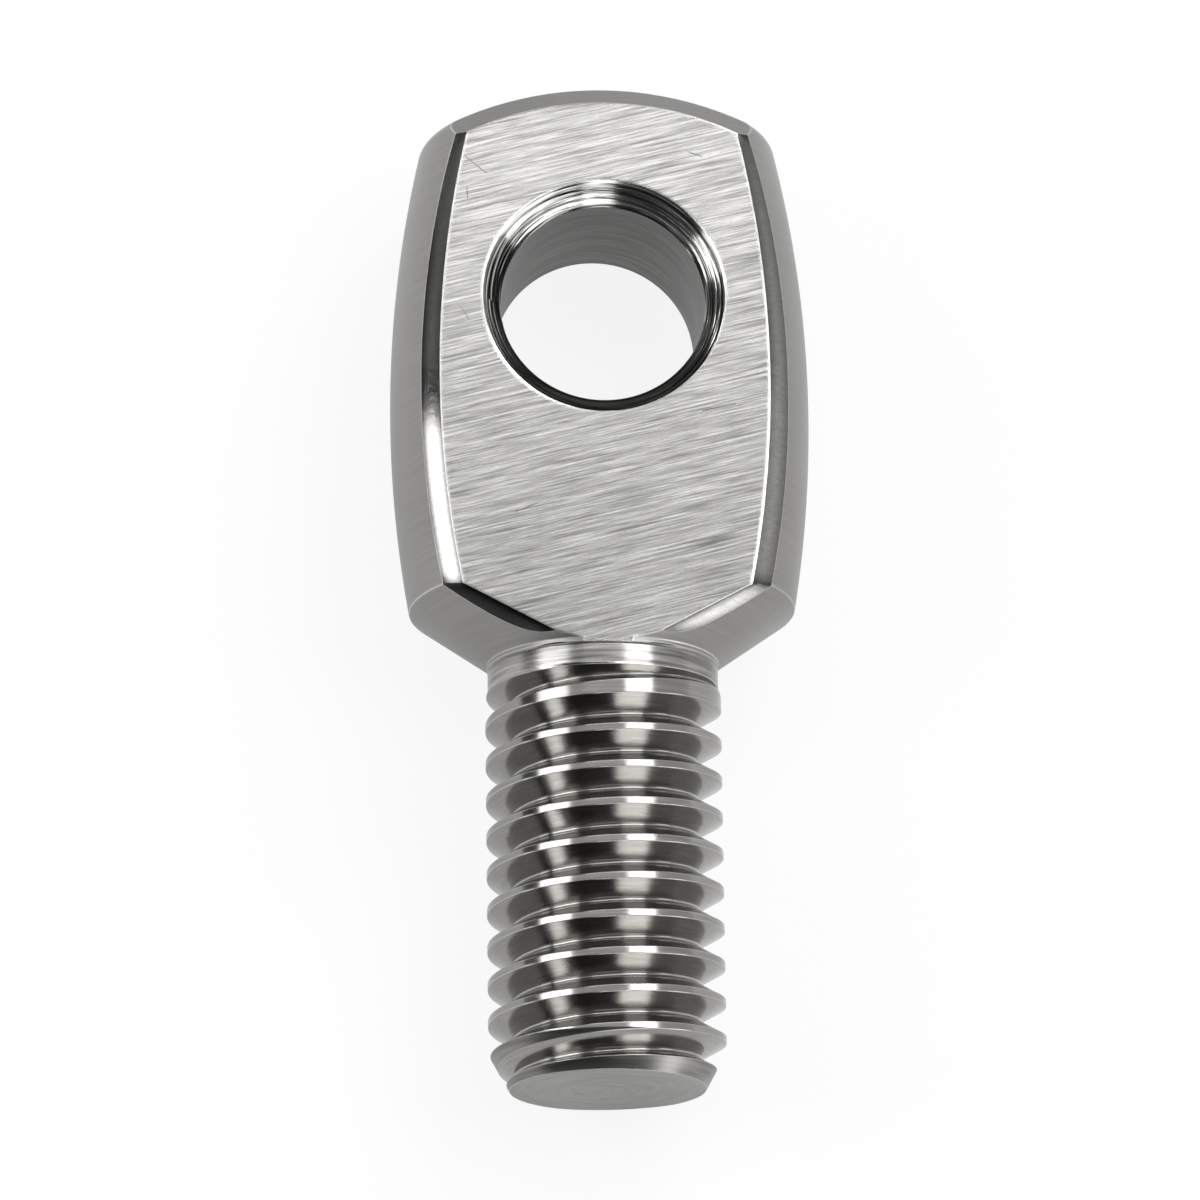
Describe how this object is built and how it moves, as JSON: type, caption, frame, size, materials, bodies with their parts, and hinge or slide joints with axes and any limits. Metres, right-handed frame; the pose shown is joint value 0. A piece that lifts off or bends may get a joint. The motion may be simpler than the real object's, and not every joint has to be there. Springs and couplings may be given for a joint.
{
  "type": "threaded eye terminal",
  "caption": "Flat-sided steel eye on a threaded shank, for pinning a rod or cable end to a fork.",
  "frame": {"origin": "centre of the eye's bore, halfway between the two flats", "axes": "+Z along the bore's axis, out of the upper flat; +Y along the shank's axis, from the thread's end towards the eye; +X across the head"},
  "size_m": [0.014, 0.0339, 0.0078],
  "materials": {
    "steel": "satin turned stainless steel with brushed flats and polished bevels"
  },
  "bodies": {
    "root": {"eye_terminal": "steel"}
  },
  "joints": []
}
